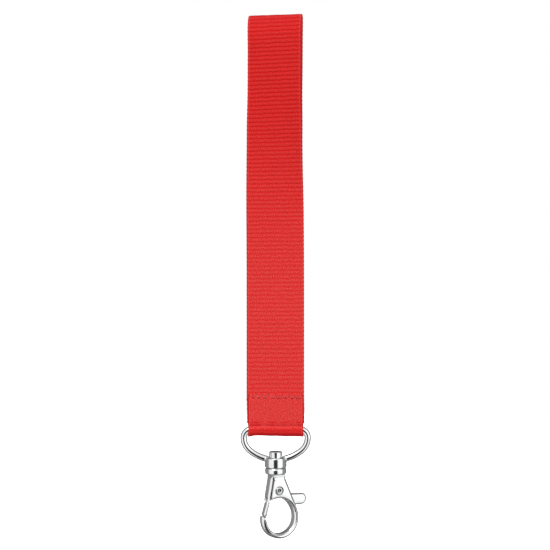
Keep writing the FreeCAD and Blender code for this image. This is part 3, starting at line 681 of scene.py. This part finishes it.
def tab_webbing():
    curve = tab_curve()
    _, length, tangent = measured(curve)
    outer = np.linspace(-1, 1, TAB_POINTS) * tab_half
    across, level = webbing_section(outer, outer[::-3], TAB_EDGE)
    reach = np.abs(across)
    height = curve[:, 1][:, None]
    # Every use stretches and shifts it in its own way, so that none repeats another.
    wrinkle = ripple(*WRINKLE)

    # Relief of the outer face, and an inner face that keeps clear of the ring.
    fold = FOLD_PUFF[0] * bell(height, bar_z + FOLD_PUFF[1], FOLD_PUFF[2])
    foot = FOOT_PUFF[0] * bell(height, STRAP_FOOT + FOOT_PUFF[1], FOOT_PUFF[2])
    puff = fold * wrinkle(across) + foot * wrinkle(across * 1.7 + 5)
    deep, inset, span = BEAD
    rim = smooth(tab_half - reach, 0.0, RIM_SLOPE)
    bead = -RIM_DROP * (1 - rim) - deep * bell(reach, tab_half - inset, span)
    thin = THIN * smooth(reach, THIN_ACROSS[0], tab_half - THIN_ACROSS[1])
    thin = thin * smooth(height, bar_z + THIN_UP[0], bar_z + THIN_UP[1])
    offset = level * TAB_THICK + np.where(level > 0, bead + puff - TAB_SINK, thin)
    offset = np.where(level < 0, np.minimum(offset, LINING_LEVEL), offset)
    y = curve[:, 0][:, None] + tangent[:, 1][:, None] * offset
    z = height - tangent[:, 0][:, None] * offset

    # The fold hangs slack, most at its corners.
    drop = FLARE * smooth(reach, FLARE_FROM, tab_half)
    drop = np.maximum(drop, SLACK + SLACK_RIGHT * smooth(across, *SLACK_SPAN))
    z = z - drop * smooth(height, bar_z + HANG_SPAN[0], bar_z + HANG_SPAN[1])
    low = smooth(height, bar_z + FOLD_SPAN[0], bar_z + FOLD_SPAN[1])
    z = z + EDGE_WANDER * wrinkle(across * 0.6 + 2.0) * low
    # The cut ends are held down by the seam and wander a little.
    top = smooth(height, tab_top - CUT_HEIGHT, tab_top)
    y = y - np.sign(y) * CUT_TUCK * top * (level > 0)
    z = z + EDGE_WANDER * wrinkle(across * 2.1 + 9.0) * top

    wide = TAB_WIDTH + CUT_SPREAD[0] * bell(z, tab_top + CUT_SPREAD[1], CUT_SPREAD[2])
    wide = wide - BAR_NARROW[0] * bell(z, bar_z + BAR_NARROW[1], BAR_NARROW[2])
    corner = smooth(-across, FRAY_FROM, tab_half)
    x = across * wide - FRAY * bell(z, tab_top + FRAY_PLACE[0], FRAY_PLACE[1]) * corner
    piece = new_mesh(
        "tab_webbing",
        np.stack([x, y, z], -1),
        [face[::-1] for face in tube_faces(len(curve), len(across))],
        across=x,
        along=np.broadcast_to(length[:, None], x.shape),
        crease=tab_shade(x, z, wrinkle, level),
    )
    piece.data.materials.append(smooth_cloth())
    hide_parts("ring_tab")
    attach(piece, "strap")
    return piece, length[-1]


SEAM_PITCH = 2.36
SEAM_SWING = 0.52
SWING_SHARES = (0.85, -0.75)  # of the swing, at the upper and the lower holes
SEAM_SLOPE = 0.014
SEAM_MARGIN = 0.25
HOLE_WANDER = (0.2, 0.1)  # across and up
STITCH_POINTS, PLY_SIDES, WELL_SIDES = 15, 8, 10
PLY_RADIUS = 0.15
PLY_SWIRL = 0.62  # the plies' distance from the thread's middle, as a share of their radius
PLY_TURNS = 1.5  # turns of the thread's twist in a stitch
PLY_BANDS = 6  # and of its colour
THREAD_DIP = 0.16  # the thread starts this far in
THREAD_ARCH = 0.26  # and rises this much over its stitch
THREAD_REST = 0.05  # and lies this much higher on the tab
END_SHARE = 0.72  # of the ply's radius, where it goes in
CUT_BLUR = 0.12
# Where the thread goes in, the cloth is drawn down round it: a well with a domed rim, coloured
# with a painted shadow.
# Each ring is a radius and a height over the cloth.
WELL = ((0.02, -0.35), (0.24, -0.3), (0.28, -0.02), (0.22, 0.08), (0.05, 0.12))


def seam_surface(z, rest=0.0):
    """Height of the cloth under the seam, which steps down from the tab to the strap."""
    on_tab = smooth(z, tab_top + CUT_BLUR, tab_top - CUT_BLUR)
    return STRAP_SKIN + (TAB_SKIN - STRAP_SKIN + rest) * on_tab


def stitch_ply(start, end, side, ply):
    """Points of one ply of the thread between two needle holes, and its twist at each."""
    share = np.linspace(0, 1, STITCH_POINTS)
    flat = start + share[:, None] * (end - start)
    along = (end - start) / np.linalg.norm(end - start)
    arch = np.sin(math.pi * share) ** 0.5
    depth = seam_surface(flat[:, 1], THREAD_REST) - THREAD_DIP + THREAD_ARCH * arch
    turn = TAU * (share * PLY_TURNS + ply / 2)
    swirl = PLY_RADIUS * PLY_SWIRL
    x = flat[:, 0] - along[1] * swirl * np.cos(turn)
    y = side * (depth + swirl * np.sin(turn))
    z = flat[:, 1] + along[0] * swirl * np.cos(turn)
    radius = PLY_RADIUS * (END_SHARE + (1 - END_SHARE) * arch)
    tube = tube_along(np.stack([x, y, z], 1), radius, PLY_SIDES)
    sides = np.tile(np.arange(PLY_SIDES) / PLY_SIDES, STITCH_POINTS)
    return tube.reshape(-1, 3), np.repeat(share * PLY_BANDS, PLY_SIDES) + sides


def needle_well(x, z, side):
    """Points of the well round one needle hole."""
    spin = np.arange(WELL_SIDES) / WELL_SIDES * TAU
    rings = []
    for radius, height in WELL:
        y = np.full(WELL_SIDES, side * (seam_surface(z) + height))
        rings.append(np.stack([x + radius * np.cos(spin), y, z + radius * np.sin(spin)], 1))
    return np.concatenate(rings)


def seam(name, node, side, material):
    """One zigzag row of lockstitches over the tab's cut edge. side is -1 in front and 1 behind."""
    low, high = box_mm(node)
    middle = (low[2] + high[2]) / 2
    half = (high[0] - low[0]) / 2 - SEAM_MARGIN
    stitches = round(2 * half / (SEAM_PITCH / 2))
    holes = stitches + 1
    xs = np.linspace(-half, half, holes) + rng.uniform(-HOLE_WANDER[0], HOLE_WANDER[0], holes)
    swing = SEAM_SWING * np.where(np.arange(holes) % 2 == 0, *SWING_SHARES)
    zs = middle + swing - SEAM_SLOPE * xs + rng.uniform(-HOLE_WANDER[1], HOLE_WANDER[1], holes)
    needle_holes = np.stack([xs, zs], 1)
    points, plies, dark, faces = [], [], [], []

    def include(places, turns, darkness, columns):
        faces.extend(tube_faces(len(places) // columns, columns, first=len(plies)))
        points.append(places)
        plies.extend(turns)
        dark.extend([darkness] * len(places))

    for start, end in zip(needle_holes, needle_holes[1:]):
        for ply in range(2):
            places, turns = stitch_ply(start, end, side, ply)
            include(places, turns, 0.0, PLY_SIDES)
    for x, z in needle_holes:
        places = needle_well(x, z, side)
        # The wells carry the painted shadow of the holes.
        include(places, [0.0] * len(places), 1.0, WELL_SIDES)
    piece = new_mesh(name, np.concatenate(points), faces, ply=plies, hole=dark)
    piece.data.materials.append(material)
    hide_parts(node)
    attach(piece, "strap")
    return piece


# ---------------------------------------------------------------- hardware

HOOK_TURN = math.radians(28.0)  # the hook's front face against the strap's
HOOK_PLANE = np.array(
    [
        (math.cos(HOOK_TURN), -math.sin(HOOK_TURN), 0.0),
        (math.sin(HOOK_TURN), math.cos(HOOK_TURN), 0.0),
        (0.0, 0.0, 1.0),
    ]
)
EYE_CENTRE = (1.5, -178.5)  # in the hook's plane
COLLAR_FOOT = -164.25
COLLAR_BLEND = 1.5
PIN_REACH = 2.0  # walls this near to the pin belong to its bore
WALL_STEP = 0.05
RIM_RADIUS = (1.25, 1.8)  # rims of the hook: by the eye and lever, and along the closed side
LEVER_RADIUS = (0.95, 0.95)
HOOK_HOLLOW = 1.25  # walls that stay within this of the middle plane are the slot's
LEVER_HOLLOW = 0.3
FULL_FACING = (-0.1, 0.5)  # how far a wall faces the closed side before its rim is full
SIDE_REACH = 0.5  # the closed side stands out this much more than in the CAD
SIDE_SPAN = (1.0, 2.2)  # distances from the middle between which it starts to
SIDE_DEPTH = 1.8  # the move dies out this far inside the wall


def evaluated(mesh, *modifiers):
    """A mesh with modifiers applied; each modifier is (type, {setting: value})."""
    holder = bpy.data.objects.new("holder", mesh)
    bpy.context.scene.collection.objects.link(holder)
    for kind, settings in modifiers:
        made = holder.modifiers.new(kind.lower(), kind)
        for setting, value in settings.items():
            setattr(made, setting, value)
    depsgraph = bpy.context.evaluated_depsgraph_get()
    result = bpy.data.meshes.new_from_object(holder.evaluated_get(depsgraph))
    bpy.data.objects.remove(holder)
    return result


def vertex_table(mesh):
    """Vertex positions (mm) and normals in the hook's own plane: along it, through it, up."""
    count = len(mesh.vertices)
    places, normals = np.empty(count * 3), np.empty(count * 3)
    mesh.vertices.foreach_get("co", places)
    mesh.vertices.foreach_get("normal", normals)
    return places.reshape(-1, 3) / MM @ HOOK_PLANE, normals.reshape(-1, 3) @ HOOK_PLANE


def nearest(targets, queries):
    """For each query point (2-D) the index of the nearest target point and its distance."""
    tree = KDTree(len(targets))
    for i, (a, b) in enumerate(targets):
        tree.insert((a, b, 0.0), i)
    tree.balance()
    found = [tree.find((a, b, 0.0)) for a, b in queries]
    return np.array([f[1] for f in found]), np.array([f[2] for f in found])


def side_walls(mesh, pin, hollow):
    """Points (mm) along the outer side walls of the hook in its plane, with the walls' normals."""
    places, _ = vertex_table(mesh)
    points, normals = [], []
    for face in mesh.polygons:
        normal = np.array(face.normal) @ HOOK_PLANE
        corners = places[list(face.vertices)]
        middle = corners.mean(axis=0)
        near_pin = np.hypot(middle[0] - pin[0], middle[2] - pin[2]) < PIN_REACH
        outer = np.abs(corners[:, 1]).max() > hollow
        if abs(normal[1]) > 0.05 or not outer or near_pin or middle[2] > COLLAR_FOOT:
            continue
        for start, end in zip(corners, np.roll(corners, -1, axis=0)):
            run = np.linalg.norm((end - start)[[0, 2]])
            share = np.linspace(0, 1, int(run / WALL_STEP) + 2)[:, None]
            line = start + share * (end - start)
            points.append(line[:, [0, 2]])
            normals.append(np.tile(normal[[0, 2]], (len(line), 1)))
    return np.concatenate(points), np.concatenate(normals)


def below_collar(places):
    """0 down to the collar's foot and 1 a little below it: the collar stays as it is."""
    return smooth(places[:, 2], COLLAR_FOOT, COLLAR_FOOT - COLLAR_BLEND)


def round_rims(mesh, source, pin, rim, hollow, closed_side):
    """Gives a fine copy of the hook nearly half-round rims, within the same outline.

    Last, its closed side moves out by closed_side.
    """
    places, normals = vertex_table(mesh)
    wall, outward = side_walls(source, pin, hollow)
    index, depth = nearest(wall, places[:, [0, 2]])
    faces = (np.abs(normals[:, 1]) > 0.95) & (np.abs(places[:, 1]) > hollow)
    level = places[faces]
    step, _ = nearest(level[:, [0, 2]], places[:, [0, 2]])
    half = np.abs(level[step, 1])
    out = outward[index]
    # The closed side is fuller than the eye's walls and the side of the lever.
    outside = (out * (wall[index] - EYE_CENTRE)).sum(axis=1) > 0
    full = smooth(-out[:, 0], *FULL_FACING) * outside
    radius = (rim[0] + (rim[1] - rim[0]) * full) * below_collar(places)
    radius = np.minimum(radius, half)
    a = np.maximum(radius - depth, 0)
    b = np.maximum(radius - (half - np.abs(places[:, 1])), 0)
    reach = np.hypot(a, b)
    over = (a > 0) & (b > 0) & (reach > radius)
    pull = np.where(over, 1 - radius / np.maximum(reach, 1e-6), 0)
    places[:, 0] -= out[:, 0] * a * pull
    places[:, 2] -= out[:, 1] * a * pull
    places[:, 1] -= np.sign(places[:, 1]) * b * pull
    closed = smooth(-wall[index, 0], *SIDE_SPAN) * np.maximum(-out[:, 0], 0)
    closed = closed * smooth(SIDE_DEPTH - depth, 0, SIDE_DEPTH) * below_collar(places)
    places[:, 0] -= closed_side * closed
    mesh.vertices.foreach_set("co", (places @ HOOK_PLANE.T * MM).reshape(-1))
    mesh.update()


LAST_ROUNDS = 10  # of smoothing, after the rims are rounded


def smoothing(rounds):
    return "SMOOTH", {"factor": 0.5, "iterations": rounds}


def cast(node, name, finish, voxel, rounds, swell, rounding=None):
    """A finer copy of a CAD piece with the soft edges of a tumbled casting.

    voxel and swell are in millimetres, and swell makes up for what the smoothing takes away.
    """
    source = frame["nodes"][node]
    grid = ("REMESH", {"mode": "VOXEL", "voxel_size": voxel * MM})
    fuller = ("DISPLACE", {"mid_level": 0.0, "strength": swell * MM})
    mesh = evaluated(source.data.copy(), grid, smoothing(rounds), fuller)
    if rounding is not None:
        round_rims(mesh, source.data, *rounding)
        mesh = evaluated(mesh, smoothing(LAST_ROUNDS))
    mesh.materials.clear()
    mesh.materials.append(finish)
    mesh.polygons.foreach_set("use_smooth", [True] * len(mesh.polygons))
    mesh.update()
    piece = bpy.data.objects.new(name, mesh)
    bpy.context.scene.collection.objects.link(piece)
    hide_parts(node)
    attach(piece, source["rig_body"])
    return piece


# From the head's sunk middle out over its turned groove and down its side, each ring is a
# radius as a share of the head's, a depth below the crown in millimetres, and a darkness.
RIVET_PROFILE = (
    (0.02, 0.42, 1.0),
    (0.22, 0.38, 1.0),
    (0.42, 0.12, 0.8),
    (0.52, 0.04, 0.1),
    (0.68, 0.0, 0.0),
    (0.78, 0.05, 0.3),
    (0.84, 0.26, 1.0),
    (0.93, 0.28, 1.0),
    (1.0, 0.08, 0.4),
    (1.08, 0.04, 0.0),
    (1.16, 0.12, 0.3),
    (1.18, 0.6, 1.0),
    (0.66, 0.6, 1.0),
)
RIVET_SIDES = 40
PEEN_WANDER = 0.05  # the peening tool's inner edge is this far off the middle
DARK_SPREAD = (0.55, 0.45)


def rivet(node, name, finish):
    """The peened pin: on each cheek a flat head with a turned groove and a sunk, dark middle."""
    source = frame["nodes"][node]
    table, _ = vertex_table(source.data)
    low, high = table.min(axis=0), table.max(axis=0)
    centre, half = (low + high) / 2, (high[1] - low[1]) / 2
    head = (high[0] - low[0]) / 2
    spin = np.arange(RIVET_SIDES) / RIVET_SIDES * TAU
    rings, dark = [], []
    for side in (-1, 1):
        for share, deep, soot in RIVET_PROFILE[::-side]:
            shift = PEEN_WANDER * head * (1 - share) * side
            u = centre[0] + shift + share * head * np.cos(spin)
            z = centre[2] + share * head * np.sin(spin) - shift
            v = np.full(RIVET_SIDES, centre[1] + side * (half - deep))
            rings.append(np.stack([u, v, z], 1))
            wander = 0.5 + 0.5 * np.sin(spin * 2 + share * 9)
            dark.append(soot * (DARK_SPREAD[0] + DARK_SPREAD[1] * wander))
    points = np.concatenate(rings) @ HOOK_PLANE.T
    piece = new_mesh(name, points, tube_faces(len(rings), RIVET_SIDES), soot=dark)
    piece.data.materials.append(finish)
    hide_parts(node)
    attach(piece, source["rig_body"])
    return piece


WIRE_RADIUS = 0.15
SPRING_TURNS = 6.5
END_TURNS = 0.75  # turns that lie flat at each end
SPRING_POINTS, WIRE_SIDES = 330, 10


def spring_coil(material):
    """Compression spring with closed end turns, between the slot's roof and the trigger's seat."""
    low, high = box_mm("trigger_spring")
    centre = (low + high) / 2
    radius = (high[0] - low[0]) / 2 - WIRE_RADIUS
    share = np.linspace(0, 1, SPRING_POINTS)
    closed = END_TURNS / SPRING_TURNS
    # The end turns lie on each other and the others are evenly open.
    climb = np.clip((share - closed) / (1 - 2 * closed), 0, 1)
    ends = np.clip(share / closed, 0, 1) + np.clip((share - 1 + closed) / closed, 0, 1)
    tall = high[2] - low[2] - 2 * WIRE_RADIUS
    rise = 2 * WIRE_RADIUS * ends + climb * (tall - 4 * WIRE_RADIUS)
    angle = share * SPRING_TURNS * TAU
    x = centre[0] + radius * np.cos(angle)
    y = centre[1] + radius * np.sin(angle)
    tube = tube_along(np.stack([x, y, low[2] + WIRE_RADIUS + rise], 1), WIRE_RADIUS, WIRE_SIDES)
    piece = new_mesh("spring_coil", tube, tube_faces(SPRING_POINTS, WIRE_SIDES))
    piece.data.materials.append(material)
    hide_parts("trigger_spring")
    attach(piece, "hook")
    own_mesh(piece)
    return piece


# ---------------------------------------------------------------- studio

CAMERA_PLACE = (-0.00025, -0.459, -0.0932)
CAMERA_LENS = 84.1
CAMERA_SENSOR = 36.0
FLOOR_LEVEL = -0.26
FLOOR_RADIUS = 1.1
FLOOR_SIDES = 96
FLOOR_FINISH = {
    "Base Color": (0.97, 0.97, 0.97, 1),
    "Roughness": 0.9,
    "Emission Color": (1, 1, 1, 1),
    "Emission Strength": 0.6,
}
# Area lights: place, width, height (metres) and power (watts).
KEY_LIGHT = ((-0.35, -0.75, 0.75), 0.5, 0.5, 3.0)
FILL_LIGHT = ((0.8, -0.6, 0.1), 0.7, 0.9, 1.2)

MIRROR_LEVEL = 1.0  # what the metal reflects
SOFT_LEVEL = 1.12  # what lights the cloth
# Directions in the world. Each ramp is: from, to, value at the first, value at the second.
SOFT_RAMP = (-0.6, 0.25, 0.25, 1.0)  # less light from below
FRONT_RAMP = (-0.42, 0.0, 1.0, 0.28)  # the sides are grey
BACK_RAMP = (0.5, 0.9, 1.0, 0.45)  # and the back darker
FLOOR_RAMP = (-0.97, -0.7, 0.5, 1.0)
# A dark patch of the world towards -Y, like a photographer in black: dark lines in the metal.
PATCH_SIZE = 0.36
PATCH_TOP, PATCH_FOOT = -0.15, -0.6
PATCH_EDGE = (0.6, 1.4, 1.0, 0.0)
PATCH_FACING = (-0.25, 0.0, 1.0, 0.0)
PATCH_DARK = 0.96


def studio_world():
    """White to the camera. Reflections also find a dark patch in front and grey behind."""
    world = bpy.data.worlds.new("studio")
    bpy.context.scene.world = world
    world.use_nodes = True
    tree = world.node_tree
    direction = add(tree, "ShaderNodeTexCoord").outputs["Generated"]
    parts = add(tree, "ShaderNodeSeparateXYZ", (("Vector", direction),)).outputs
    x, y, z = parts["X"], parts["Y"], parts["Z"]

    def ramp(value, start, end, first, last):
        sockets = ("Value", "From Min", "From Max", "To Min", "To Max")
        inputs = tuple(zip(sockets, (value, start, end, first, last)))
        made = add(tree, "ShaderNodeMapRange", inputs, interpolation_type="SMOOTHSTEP")
        return made.outputs["Result"]

    def choose(share, first, second):
        inputs = (("Factor", share), ("A", first), ("B", second))
        return add(tree, "ShaderNodeMix", inputs, data_type="FLOAT").outputs["Result"]

    def times(first, second):
        return calc(tree, "MULTIPLY", first, second)

    wide = calc(tree, "POWER", calc(tree, "DIVIDE", x, PATCH_SIZE), 2.0)
    above = calc(tree, "MAXIMUM", calc(tree, "ADD", z, -PATCH_TOP), 0.0)
    below = calc(tree, "MAXIMUM", calc(tree, "MULTIPLY_ADD", z, -1.0, PATCH_FOOT), 0.0)
    outside = calc(tree, "ADD", above, below)
    tall = calc(tree, "POWER", calc(tree, "DIVIDE", outside, PATCH_SIZE), 2.0)
    patch = ramp(calc(tree, "ADD", wide, tall), *PATCH_EDGE)
    patch = times(patch, ramp(y, *PATCH_FACING))
    mirrored = times(ramp(y, *FRONT_RAMP), ramp(y, *BACK_RAMP))
    mirrored = times(mirrored, ramp(z, *FLOOR_RAMP))
    mirrored = times(mirrored, calc(tree, "MULTIPLY_ADD", patch, -PATCH_DARK, 1.0))
    mirrored = times(mirrored, MIRROR_LEVEL)
    soft = times(ramp(z, *SOFT_RAMP), SOFT_LEVEL)
    path = add(tree, "ShaderNodeLightPath").outputs
    strength = choose(path["Is Glossy Ray"], soft, mirrored)
    strength = choose(path["Is Camera Ray"], strength, 1.0)
    background = tree.nodes["Background"]
    background.inputs["Color"].default_value = (1, 1, 1, 1)
    tree.links.new(strength, background.inputs["Strength"])
    tree.links.new(background.outputs[0], tree.nodes["World Output"].inputs["Surface"])


def soft_light(name, place, width, height, power):
    lamp = bpy.data.lights.new(name, "AREA")
    lamp.shape = "RECTANGLE"
    lamp.size = width
    lamp.size_y = height
    lamp.energy = power
    holder = bpy.data.objects.new(name, lamp)
    holder.location = place
    aim = Vector((0, 0, CAMERA_PLACE[2])) - Vector(place)
    holder.rotation_euler = aim.to_track_quat("-Z", "Y").to_euler()
    bpy.context.scene.collection.objects.link(holder)


def pale_floor():
    rim = np.arange(FLOOR_SIDES) / FLOOR_SIDES * TAU
    disc = np.stack([np.cos(rim), np.sin(rim), np.zeros(FLOOR_SIDES)], 1) * FLOOR_RADIUS
    disc[:, 2] = FLOOR_LEVEL
    floor = new_mesh("floor", disc / MM, [tuple(range(FLOOR_SIDES))])
    made, _, shader = new_material("pale_floor")
    settle(shader, FLOOR_FINISH)
    floor.data.materials.append(made)
    floor.visible_glossy = False
    floor.visible_diffuse = False


def studio():
    studio_world()
    soft_light("key", *KEY_LIGHT)
    soft_light("fill", *FILL_LIGHT)
    pale_floor()
    camera = bpy.data.cameras.new("camera")
    camera.sensor_width = CAMERA_SENSOR
    camera.lens = CAMERA_LENS
    holder = bpy.data.objects.new("camera", camera)
    holder.location = CAMERA_PLACE
    holder.rotation_euler = (math.pi / 2, 0, 0)
    bpy.context.scene.collection.objects.link(holder)
    bpy.context.scene.camera = holder
    bpy.context.scene.view_settings.view_transform = "Standard"


# ---------------------------------------------------------------- assembly

studio()
strap, strap_length = strap_webbing()
tab, tab_length = tab_webbing()
thread = sewing_thread()
needle = seam("needle_stitches", "needle_thread", -1, thread)
bobbin = seam("bobbin_stitches", "bobbin_thread", 1, thread)

plate = plated_metal("nickel_plate", PLATE, roughness=0.12, waves=0.00003)
polished = plated_metal("polished_nickel", POLISHED, roughness=0.10, waves=0.00001)
dull = plated_metal("rivet_nickel", DULL_PLATE, roughness=0.24, waves=0.00004)
steel = plated_metal("spring_steel", STEEL, roughness=0.25, waves=0.00001)
spring_coil(steel)
pin = vertex_table(frame["nodes"]["trigger_pin"].data)[0].mean(axis=0)
body_rims = (pin, RIM_RADIUS, HOOK_HOLLOW, SIDE_REACH)
lever_rims = (pin, LEVER_RADIUS, LEVER_HOLLOW, 0.0)
cast("hook_body", "hook_casting", plate, voxel=0.11, rounds=10, swell=0.02, rounding=body_rims)
cast("trigger", "trigger_casting", plate, voxel=0.08, rounds=8, swell=0.02, rounding=lever_rims)
rivet("trigger_pin", "rivet", dull)
cast("d_ring", "ring_casting", polished, voxel=0.12, rounds=6, swell=0.01)
post_slots = frame["nodes"]["swivel_post"].data.materials
post_slots.clear()
post_slots.append(polished)

# The photo's metal shows no red, so the cloth stays out of its reflections.
for cloth in (strap, tab, needle, bobbin):
    cloth.visible_glossy = False
